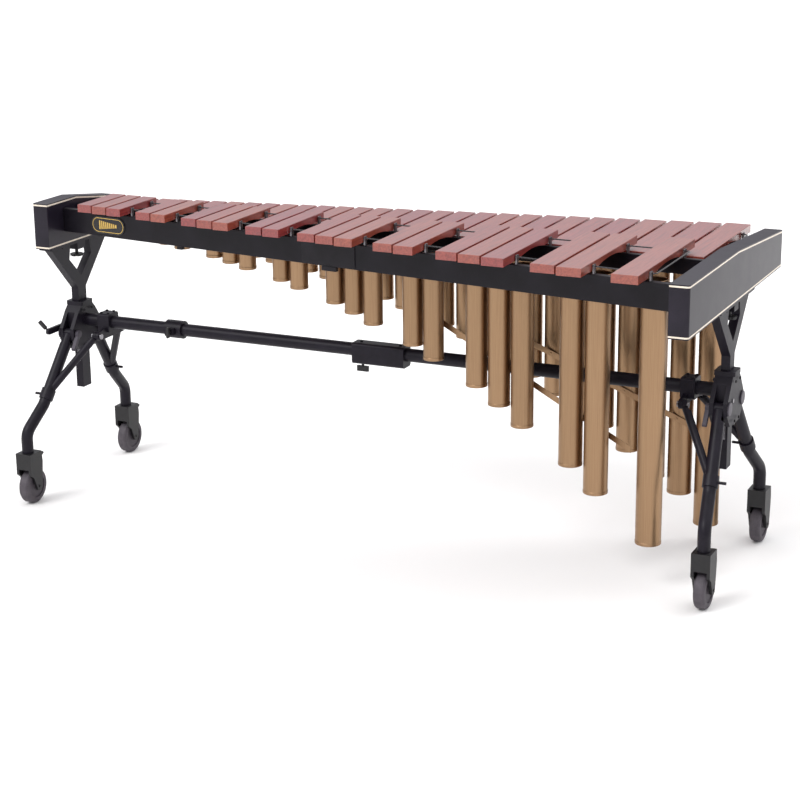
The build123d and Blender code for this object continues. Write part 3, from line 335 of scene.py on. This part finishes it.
def islands(build):
    """The separate shells of a bmesh, as lists of vertices, from the low notes to the high ones."""
    left, groups = set(build.verts), []
    while left:
        first = left.pop()
        group, edge = [first], [first]
        while edge:
            for side in edge.pop().link_edges:
                for vertex in side.verts:
                    if vertex in left:
                        left.remove(vertex)
                        group.append(vertex)
                        edge.append(vertex)
        groups.append(group)
    return sorted(groups, key=lambda g: (-round(sum(v.co.x for v in g) / len(g), 4), g[0].co.z))


def merged(node):
    """A node's mesh with its triangles joined and its flat faces whole."""
    build = bmesh.new()
    build.from_mesh(frame["nodes"][node].data)
    bmesh.ops.remove_doubles(build, verts=build.verts, dist=WELD)
    bmesh.ops.dissolve_limit(
        build, angle_limit=FLAT, verts=build.verts, edges=build.edges, delimit={"NORMAL"},
    )
    return build


def mesh_of(build, name):
    """A finished bmesh as a named mesh."""
    mesh = bpy.data.meshes.new(name)
    build.to_mesh(mesh)
    build.free()
    return mesh


def box_of(points):
    """The low and high corners of the box round some points."""
    return [Vector([pick(point[i] for point in points) for i in range(3)]) for pick in (min, max)]


def solids(node):
    """The box of each separate solid in a node, from the low notes to the high ones."""
    build = merged(node)
    boxes = [box_of([vertex.co for vertex in group]) for group in islands(build)]
    build.free()
    return boxes


def whole_box(node):
    """The box of a whole node."""
    return box_of([corner for box in solids(node) for corner in box])


def finish_piece(piece, node):
    """Sets a piece on the node's body."""
    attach(piece, BODY_OF[node])
    return piece


def refined(node, bevel_mm, segments=2):
    """A node's own shape with its edges eased, each solid with its own shade."""
    chance = random.Random(f"{SEED}{node}")
    build = merged(node)
    tone = build.verts.layers.float.new("tone")
    for group in islands(build):
        shade = chance.random()
        for vertex in group:
            vertex[tone] = shade
    for face in build.faces:
        face.smooth = True
    for edge in build.edges:
        edge.smooth = edge.is_manifold and edge.calc_face_angle(0) < CREASE
    piece = link(node + "_skin", mesh_of(build, node + "_skin"))
    if bevel_mm:
        bevel = piece.modifiers.new("eased edges", "BEVEL")
        bevel.width, bevel.segments = bevel_mm * MM, segments
        bevel.limit_method, bevel.angle_limit = "ANGLE", CREASE
        bevel.harden_normals = True
        bevel.use_clamp_overlap = True
        applied(piece)
    piece.data.materials.append(MATERIALS[SLOT_OF[node]])
    finish_piece(piece, node)
    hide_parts(node)


def join_rings(build, rings):
    """Faces between each ring of vertices and the next, and from the last back to the first."""
    for here, there in zip(rings, rings[1:] + rings[:1]):
        for k in range(len(here)):
            following = (k + 1) % len(here)
            corners = dict.fromkeys([here[k], here[following], there[following], there[k]])
            if len(corners) > 2:
                build.faces.new(list(corners))
    bmesh.ops.recalc_face_normals(build, faces=build.faces)


def lathe(name, profile, segments):
    """Closed ring of faces from a closed (radius, height) profile turned about Z."""
    build = bmesh.new()
    turns = [math.tau * k / segments for k in range(segments)]
    rings = []
    for radius, height in profile:
        if radius == 0:
            rings.append([build.verts.new((0, 0, height))] * segments)
        else:
            circle = ((radius * math.cos(turn), radius * math.sin(turn), height) for turn in turns)
            rings.append([build.verts.new(point) for point in circle])
    join_rings(build, rings)
    for face in build.faces:
        face.smooth = True
    for edge in build.edges:
        edge.smooth = edge.calc_face_angle(0) < RIM_CREASE
    return mesh_of(build, name)


# ==== repeats, by Geometry Nodes ================================================================
def socket_id(tree, name):
    """Identifier of a node group's input."""
    return next(i.identifier for i in tree.interface.items_tree if i.name == name)


def repeat_tree():
    """Sets a copy of one piece on each point, scaled by the point's own size and turned by its own
    turn, then makes the copies real and gives them one material."""
    tree = bpy.data.node_groups.new("one_on_each_point", "GeometryNodeTree")
    inputs = {"Points": "NodeSocketGeometry", "Piece": "NodeSocketObject", "Finish": "NodeSocketMaterial"}
    for name, kind in inputs.items():
        tree.interface.new_socket(name=name, in_out="INPUT", socket_type=kind)
    tree.interface.new_socket(name="Copies", in_out="OUTPUT", socket_type="NodeSocketGeometry")
    start = add_node(tree, "NodeGroupInput").outputs
    piece = add_node(tree, "GeometryNodeObjectInfo", Object=start["Piece"]).outputs["Geometry"]
    kind = {"data_type": "FLOAT_VECTOR"}
    size, turn = (
        add_node(tree, "GeometryNodeInputNamedAttribute", kind, {"Name": name}).outputs["Attribute"]
        for name in ("size", "turn")
    )
    copies = add_node(
        tree, "GeometryNodeInstanceOnPoints", Points=start["Points"], Instance=piece, Scale=size,
    ).outputs["Instances"]
    turned = add_node(
        tree, "GeometryNodeRotateInstances", Instances=copies, Rotation=turn,
    ).outputs["Instances"]
    real = add_node(tree, "GeometryNodeRealizeInstances", Geometry=turned).outputs["Geometry"]
    dressed = add_node(tree, "GeometryNodeSetMaterial", Geometry=real, Material=start["Finish"])
    add_node(tree, "NodeGroupOutput", Copies=dressed.outputs["Geometry"])
    return tree


REPEAT = repeat_tree()


def repeat(name, mesh, spots, node, slot):
    """Copies of a mesh at (place, size, turn) spots, as one piece on the node's body."""
    chance = random.Random(f"{SEED}{name}")
    points = bpy.data.meshes.new(name)
    points.from_pydata([tuple(spot[0]) for spot in spots], [], [])
    for key, index in (("size", 1), ("turn", 2)):
        layer = points.attributes.new(key, "FLOAT_VECTOR", "POINT")
        for item, spot in zip(layer.data, spots):
            item.vector = spot[index]
    shade = points.attributes.new("tone", "FLOAT", "POINT")
    for item in shade.data:
        item.value = chance.random()
    source = link(name + "_source", mesh)
    piece = link(name, points)
    maker = piece.modifiers.new("repeat", "NODES")
    maker.node_group = REPEAT
    maker[socket_id(REPEAT, "Piece")] = source
    maker[socket_id(REPEAT, "Finish")] = MATERIALS[slot]
    applied(piece)
    bpy.data.objects.remove(source)
    return finish_piece(piece, node)


QUARTER = math.pi / 2
NO_TURN = (0.0, 0.0, 0.0)
UP, DOWN = NO_TURN, (math.pi, 0.0, 0.0)
OUT_LOW, OUT_HIGH = (0.0, QUARTER, 0.0), (0.0, -QUARTER, 0.0)
FULL_SIZE = (1.0, 1.0, 1.0)


# ==== the solids' own shapes, with the easing of their edges in mm ==============================
BAR_EASE, BAR_EASE_STEPS = 0.9, 3
SINGLE_EASES = {
    "near_outer_rail": 1.5, "far_outer_rail": 1.5, "inner_rails": 1.2, "rail_joint_plates": 0.8,
    "cord_posts": 0.4, "bar_cords": 0, "badge": 0.8, "block_inlays": 0.25,
    "end_block_low": 1.0, "end_block_high": 1.0, "resonator_strips": 0.5, "resonator_stays": 0.4,
    "fork_low": 2.0, "fork_high": 2.0, "lift_racks": 0.15, "hub_low": 2.0, "hub_high": 2.0,
    "strut_brackets": 1.5, "strut_bolts": 0.6, "beam_tube_low": 0.4, "beam_tube_high": 0.4,
    "beam_sleeve": 1.5, "beam_collar": 1.0, "block_knob_low": 0.8, "block_knob_high": 0.8,
    "sleeve_wing_screw": 1.0, "collar_screw": 1.0, "crank": 0.8, "crank_grip": 0,
    "lift_pinion_low": 0.15,
}
LEG_EASES = {
    "leg": 0.5, "strut": 0.8, "leg_clamp": 0.8, "caster_fork": 1.6, "caster_wheel": 0.6,
    "brake_pedal": 1.0,
}

for bank in ("accidental", "natural"):
    for end in ("low", "high"):
        refined(f"{bank}_bars_{end}", BAR_EASE, BAR_EASE_STEPS)
for node, ease in SINGLE_EASES.items():
    refined(node, ease)
for end in ("low", "high"):
    for side in ("near", "far"):
        for kind, ease in LEG_EASES.items():
            refined(f"{kind}_{side}_{end}", ease)


# ==== resonators ==============================================================================
TUBE_WALL = 1.5 * MM
TUBE_FOOT, TUBE_MOUTH = 0.004, 0.998  # shares of a tube's length
CAP_HEIGHT, CAP_OUT, CAP_EASE = 9 * MM, 0.6 * MM, 1.2 * MM
TUBE_SEGMENTS = 72
# the pressed cap: share of its radius and height, from the middle of its dished floor to the rim
CAP_PROFILE = (
    (0, 1.6 * MM), (0.80, 1.2 * MM), (0.90, 0.2 * MM), (0.965, 0), (0.992, CAP_EASE * 0.4),
    (1, CAP_EASE), (1, CAP_HEIGHT - CAP_EASE), (0.99, CAP_HEIGHT), (0.96, CAP_HEIGHT),
    (0.93, 3 * MM), (0, 3.4 * MM),
)


def resonator_bank(node, name):
    """Every tube of a bank: a drawn wall with a rolled lip at its mouth, and a pressed cap below."""
    boxes = solids(node)
    walls, caps = [], []
    for low, high in boxes:
        radius = (high.x - low.x) / 2 - CAP_OUT
        middle = (low + high) / 2
        foot = (middle.x, middle.y, low.z)
        walls.append((foot, (radius, radius, high.z - low.z), NO_TURN))
        caps.append((foot, (radius + CAP_OUT, radius + CAP_OUT, 1), NO_TURN))
    thin = TUBE_WALL / (sum(size[0] for _, size, _ in walls) / len(walls))
    wall = lathe(name + "_wall", [
        (1, TUBE_FOOT), (1, TUBE_MOUTH), (1 - thin * 0.3, 1), (1 - thin * 0.8, 1),
        (1 - thin, TUBE_MOUTH), (1 - thin, TUBE_FOOT),
    ], TUBE_SEGMENTS)
    cap = lathe(name + "_cap", CAP_PROFILE, TUBE_SEGMENTS)
    walls = repeat(name + "_walls", wall, walls, node, "resonator_gold")
    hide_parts(node)
    repeat(name + "_caps", cap, caps, node, "resonator_gold")
    return boxes


ACCIDENTAL_TUBES = resonator_bank("accidental_resonators", "accidental_tube")
NATURAL_TUBES = resonator_bank("natural_resonators", "natural_tube")


# ==== rivets and screws =======================================================================
RIVET_RADIUS, RIVET_RISE = 3.4 * MM, 1.5 * MM
RIVET_STEPS, RIVET_SEGMENTS = 5, 20
STRIP_THICKNESS, STAY_THICKNESS, STAY_HALF = 3 * MM, 2 * MM, 9 * MM
STAY_END = 10 * MM  # no rivet nearer than this to a stay's end
SCREW_RADIUS, SCREW_HEIGHT, SOCKET_RADIUS, SCREW_RIM = 4.2 * MM, 3.2 * MM, 2.1 * MM, 0.4 * MM
SCREW_SEGMENTS = 24
SINK = 0.3 * MM  # how far a head stands in its seat
HUB_SCREW_Y, HUB_SCREW_FOOT, HUB_SCREW_HEAD = 20 * MM, 12 * MM, 26 * MM
PLATE_THICKNESS = 8 * MM
PLATE_SCREW_X, PLATE_SCREW_Y, ARM_SCREW_Y = 18 * MM, 100 * MM, 36 * MM
SLEEVE_SCREW_END = 20 * MM
BRACKET_SCREW_X, BRACKET_SCREW_Y = 12 * MM, 16 * MM


def rivet():
    """Domed rivet head standing on its own origin."""
    profile = [(0, -SINK), (RIVET_RADIUS, -SINK)]
    for step in range(RIVET_STEPS):
        angle = QUARTER * step / RIVET_STEPS
        profile.append((RIVET_RADIUS * math.cos(angle), RIVET_RISE * math.sin(angle)))
    return lathe("rivet", profile + [(0, RIVET_RISE)], RIVET_SEGMENTS)


def cap_screw():
    """Socket-headed screw: a turned head with an eased rim and its socket sunk in the top."""
    shoulder = SCREW_HEIGHT - SCREW_RIM
    return lathe("cap_screw", [
        (0, -SINK), (SCREW_RADIUS, -SINK), (SCREW_RADIUS, shoulder),
        (SCREW_RADIUS - SCREW_RIM, SCREW_HEIGHT), (SOCKET_RADIUS + SCREW_RIM, SCREW_HEIGHT),
        (SOCKET_RADIUS, shoulder), (SOCKET_RADIUS, SINK), (0, SINK),
    ], SCREW_SEGMENTS)


def face_spots(box, stations, lean, side, thickness, falls=0.0):
    """A spot at each station on one face of a slanted flat bar that fills a box. The bar leans to
    +Y or -Y along X, and where it falls, its middle keeps this far inside the box."""
    low, high = box
    half = thickness / 2
    near, far = low.y + half, high.y - half
    slope = lean * (high.y - low.y) / (high.x - low.x)
    turn = (-side * QUARTER, 0.0, math.atan(slope))
    spots = []
    for x in stations:
        share = (x - low.x) / (high.x - low.x)
        y = near + (far - near) * (share if slope > 0 else 1 - share)
        z = high.z - falls - (high.z - low.z - 2 * falls) * (share if falls else 0.5)
        spots.append(((x, y + side * half, z), FULL_SIZE, turn))
    return spots


def resonator_rivets():
    """A rivet through each strip beside every tube, and through each stay where it crosses one."""
    strips, stays = (
        sorted(solids(node), key=lambda box: box[0].y + box[1].y)
        for node in ("resonator_strips", "resonator_stays")
    )
    banks = ((strips[:2], stays[0], ACCIDENTAL_TUBES, -1), (strips[2:], stays[1], NATURAL_TUBES, 1))
    spots, crossings = [], []
    for (near, far), stay, tubes, lean in banks:
        stations = [(low.x + high.x) / 2 for low, high in tubes]
        for strip, side in ((near, -1), (far, 1)):
            spots += face_spots(strip, stations, lean, side, STRIP_THICKNESS)
        crossed = [x for x in stations if stay[0].x + STAY_END < x < stay[1].x - STAY_END]
        crossings += face_spots(stay, crossed, lean, -lean, STAY_THICKNESS, STAY_HALF)
    repeat("strip_rivets", rivet(), spots, "resonator_strips", "strip_gold")
    repeat("stay_rivets", rivet(), crossings, "resonator_stays", "strip_gold")


def screws(name, node, spots, turns):
    """Cap screws at some spots of a node, each facing out its own way."""
    placed = [(spot, FULL_SIZE, turn) for spot, turn in zip(spots, turns)]
    repeat(name, cap_screw(), placed, node, "rail_fittings")


def stand_screws():
    """Cap screws: four on each face of a hub, six up through each fork's plate, two in the beam's
    sleeve and four in each strut bracket."""
    for end in ("low", "high"):
        low, high = whole_box(f"hub_{end}")
        heights = (low.z + HUB_SCREW_FOOT, high.z - HUB_SCREW_HEAD)
        spots = [(x, y, z) for x in (low.x, high.x) for y in (-HUB_SCREW_Y, HUB_SCREW_Y) for z in heights]
        turns = [OUT_HIGH] * (len(spots) // 2) + [OUT_LOW] * (len(spots) // 2)
        screws(f"hub_screws_{end}", f"hub_{end}", spots, turns)
        low, high = whole_box(f"fork_{end}")
        middle, under = (low.x + high.x) / 2, high.z - PLATE_THICKNESS
        columns = (middle - PLATE_SCREW_X, middle + PLATE_SCREW_X)
        spots = [(x, y, under) for x in columns for y in (-PLATE_SCREW_Y, PLATE_SCREW_Y)]
        screws(f"plate_screws_{end}", f"fork_{end}", spots, [DOWN] * len(spots))
        spots = [(middle, y, under) for y in (-ARM_SCREW_Y, ARM_SCREW_Y)]
        screws(f"arm_screws_{end}", f"fork_{end}", spots, [DOWN] * len(spots))
    low, high = whole_box("beam_sleeve")
    spots = [(x, 0, high.z) for x in (low.x + SLEEVE_SCREW_END, high.x - SLEEVE_SCREW_END)]
    screws("sleeve_screws", "beam_sleeve", spots, [UP] * len(spots))
    spots = []
    for low, high in solids("strut_brackets"):
        middle = (low.x + high.x) / 2
        columns = (middle - BRACKET_SCREW_X, middle + BRACKET_SCREW_X)
        spots += [(x, y, high.z) for x in columns for y in (-BRACKET_SCREW_Y, BRACKET_SCREW_Y)]
    screws("bracket_screws", "strut_brackets", spots, [UP] * len(spots))


# ==== badge ===================================================================================
RAIL_THICKNESS, BADGE_THICKNESS = 20 * MM, 2.5 * MM
LINE_INSETS, LINE_SUNK, LINE_PROUD = (5 * MM, 6.6 * MM), -0.2 * MM, 0.4 * MM
LINE_SEGMENTS = 64
EMBLEM_COUNT, EMBLEM_PITCH, EMBLEM_WIDTH, EMBLEM_DEPTH = 9, 7.6 * MM, 4.6 * MM, 0.8 * MM
EMBLEM_TALLEST, EMBLEM_STEP = 26 * MM, 2 * MM


def badge_ornament():
    """Gold line round the badge, and a plain row of falling bars across it."""
    low, high = solids("badge")[0]
    rail_low, rail_high = whole_box("near_outer_rail")
    slope = -(rail_high.y - rail_low.y - RAIL_THICKNESS) / (rail_high.x - rail_low.x)
    run = Vector((1, slope, 0)).normalized()
    up = Vector((0, 0, 1))
    out = Vector((run.y, -run.x, 0))
    centre = (low + high) / 2 + out * (BADGE_THICKNESS / 2)
    half_height = (high.z - low.z) / 2
    straight = (high.x - low.x) / 2 / run.x - half_height
    build = bmesh.new()

    def stadium(inset, rise):
        """Ring of vertices inside the badge's edge, standing off its face."""
        ring, radius = [], half_height - inset
        for k in range(LINE_SEGMENTS):
            angle = math.tau * (k + 0.5) / LINE_SEGMENTS
            u = math.copysign(straight, math.cos(angle)) + radius * math.cos(angle)
            point = centre + run * u + up * radius * math.sin(angle) + out * rise
            ring.append(build.verts.new(point))
        return ring

    outer, inner = LINE_INSETS
    steps = ((outer, LINE_SUNK), (outer, LINE_PROUD), (inner, LINE_PROUD), (inner, LINE_SUNK))
    join_rings(build, [stadium(*step) for step in steps])
    for number in range(EMBLEM_COUNT):
        place_along = (number - EMBLEM_COUNT // 2) * EMBLEM_PITCH
        height = EMBLEM_TALLEST - number * EMBLEM_STEP
        for vertex in bmesh.ops.create_cube(build, size=1.0)["verts"]:
            x, y, z = vertex.co
            u = place_along + x * EMBLEM_WIDTH
            vertex.co = centre + run * u + up * z * height + out * y * EMBLEM_DEPTH
    bmesh.ops.recalc_face_normals(build, faces=build.faces)
    piece = link("badge_gold", mesh_of(build, "badge_gold"))
    piece.data.materials.append(MATERIALS["gold_leaf"])
    finish_piece(piece, "badge")


resonator_rivets()
stand_screws()
badge_ornament()


# ==== floor, light ============================================================================
FLOOR_HALF = 60.0
CEILING_STRENGTH = 1.15


def floor():
    """Plain pale floor, wide enough to fill the view."""
    build = bmesh.new()
    bmesh.ops.create_grid(build, x_segments=1, y_segments=1, size=FLOOR_HALF)
    mesh = mesh_of(build, "floor")
    looks = {"Base Color": linear("F4F3F2"), "Roughness": 0.85}
    mesh.materials.append(material("pale_studio_floor", looks)[0])
    piece = link("floor", mesh)


def world():
    """Studio whose ceiling is bright and whose walls fall away to grey."""
    sky = bpy.data.worlds.new("studio")
    sky.use_nodes = True
    tree = sky.node_tree
    where = add_node(tree, "ShaderNodeTexCoord").outputs["Generated"]
    height = add_node(tree, "ShaderNodeSeparateXYZ", Vector=where).outputs["Z"]
    walls = ramp(tree, height, [(0.0, "5C5B60"), (0.14, "7E7D82"), (0.27, "EDEDF2"), (1.0, "FFFFFF")])
    tree.links.new(walls, tree.nodes["Background"].inputs["Color"])
    tree.nodes["Background"].inputs["Strength"].default_value = CEILING_STRENGTH
    bpy.context.scene.world = sky


def lamp(name, data, place_at, towards_lamp):
    """A light at a place, shining from a direction."""
    piece = bpy.data.objects.new(name, data)
    turn = Vector(towards_lamp).to_track_quat("Z", "Y").to_matrix().to_4x4()
    piece.matrix_world = Matrix.Translation(place_at) @ turn
    bpy.context.collection.objects.link(piece)


def sun(name, came_from, strength, spread):
    """A broad far light from a direction, the same all over the floor."""
    data = bpy.data.lights.new(name, "SUN")
    data.energy, data.angle = strength, math.radians(spread)
    lamp(name, data, (0, 0, 0), came_from)


def area_light(name, place_at, target, size, power):
    """A soft box at a place, aimed at a target."""
    data = bpy.data.lights.new(name, "AREA")
    data.shape, data.size, data.size_y = "RECTANGLE", *size
    data.energy = power
    lamp(name, data, place_at, Vector(place_at) - Vector(target))


floor()
world()
sun("key", came_from=(-0.55, -1.0, 1.15), strength=1.5, spread=28)
sun("back", came_from=(0.5, 0.8, 1.5), strength=0.7, spread=40)
area_light("side", place_at=(4.5, -1.2, 1.6), target=(1.0, 0, 0.8), size=(1.6, 1.6), power=6)
